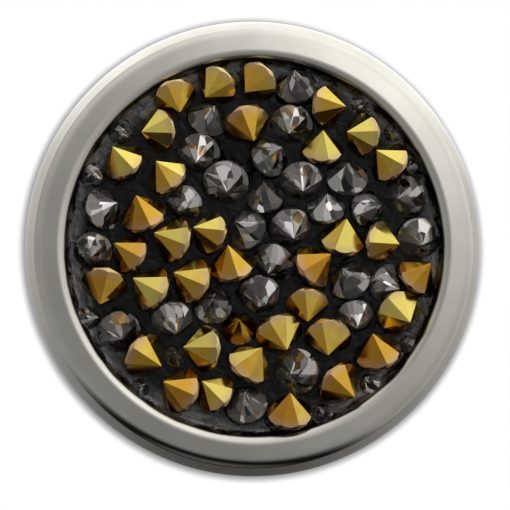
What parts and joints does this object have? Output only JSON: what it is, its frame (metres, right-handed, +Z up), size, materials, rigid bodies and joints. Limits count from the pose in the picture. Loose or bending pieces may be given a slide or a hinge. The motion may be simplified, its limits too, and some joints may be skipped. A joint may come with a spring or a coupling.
{
  "type": "crystal-set pin badge",
  "caption": "Round polished-metal badge filled with upturned pointed gold and smoke crystals in black resin, worn through cloth on tack posts held by squeeze-to-release butterfly clutches.",
  "frame": {"origin": "centre of the bezel's flat rear rim, on the plane that rests on the cloth", "axes": "+Y points backward out of the rear rim, through the cloth and along the posts; the crystal face looks toward -Y; +Z is up as worn; +X is to the right for someone facing the badge"},
  "size_m": [0.033, 0.0118, 0.033],
  "materials": {
    "bezel_steel": "mirror-polished steel, slightly warm",
    "plate_steel": "satin nickel-plated steel",
    "adhesive": "cured clear film",
    "carrier": "stamped blank",
    "black_resin": "glossy black epoxy",
    "gold_crystal": "opaque vapour-coated gold on cut glass",
    "smoke_crystal": "clear smoke-grey cut glass",
    "post_steel": "nickel-plated turned steel",
    "clutch_brass": "nickel-plated pressed brass",
    "leaf_steel": "nickel-plated spring steel"
  },
  "bodies": {
    "badge": {"bezel_ring": "bezel_steel", "back_plate": "plate_steel", "adhesive_film": "adhesive", "carrier_disc": "carrier", "resin_bed": "black_resin", "gold_stones_upper_left": "gold_crystal", "gold_stones_upper_right": "gold_crystal", "gold_stones_lower_left": "gold_crystal", "gold_stones_lower_right": "gold_crystal", "gold_stones_centre": "gold_crystal", "smoke_stones_upper_left": "smoke_crystal", "smoke_stones_upper_right": "smoke_crystal", "smoke_stones_lower_left": "smoke_crystal", "smoke_stones_lower_right": "smoke_crystal", "smoke_stones_centre": "smoke_crystal", "tack_post_left": "post_steel", "tack_post_right": "post_steel"},
    "clutch_left": {"clutch_shell_left": "clutch_brass"},
    "clutch_right": {"clutch_shell_right": "clutch_brass"},
    "leaf_left_upper": {"clutch_leaf_left_upper": "leaf_steel"},
    "leaf_left_lower": {"clutch_leaf_left_lower": "leaf_steel"},
    "leaf_right_upper": {"clutch_leaf_right_upper": "leaf_steel"},
    "leaf_right_lower": {"clutch_leaf_right_lower": "leaf_steel"}
  },
  "joints": [
    {"name": "clutch_left_pull", "type": "slide", "parent": "badge", "child": "clutch_left", "axis": [0, 1, 0], "range_m": [0, 0.006]},
    {"name": "leaf_left_upper_squeeze", "type": "slide", "parent": "clutch_left", "child": "leaf_left_upper", "axis": [0, 0, -1], "range_m": [0, 0.0005], "stiffness_N_per_m": 800, "springref_m": -0.0003},
    {"name": "leaf_left_lower_squeeze", "type": "slide", "parent": "clutch_left", "child": "leaf_left_lower", "axis": [0, 0, 1], "range_m": [0, 0.0005], "stiffness_N_per_m": 800, "springref_m": -0.0003},
    {"name": "clutch_right_pull", "type": "slide", "parent": "badge", "child": "clutch_right", "axis": [0, 1, 0], "range_m": [0, 0.006]},
    {"name": "leaf_right_upper_squeeze", "type": "slide", "parent": "clutch_right", "child": "leaf_right_upper", "axis": [0, 0, -1], "range_m": [0, 0.0005], "stiffness_N_per_m": 800, "springref_m": -0.0003},
    {"name": "leaf_right_lower_squeeze", "type": "slide", "parent": "clutch_right", "child": "leaf_right_lower", "axis": [0, 0, 1], "range_m": [0, 0.0005], "stiffness_N_per_m": 800, "springref_m": -0.0003}
  ],
  "couplings": [
    {"joint": "leaf_left_lower_squeeze", "follows": "leaf_left_upper_squeeze", "ratio": 1},
    {"joint": "leaf_right_lower_squeeze", "follows": "leaf_right_upper_squeeze", "ratio": 1}
  ]
}
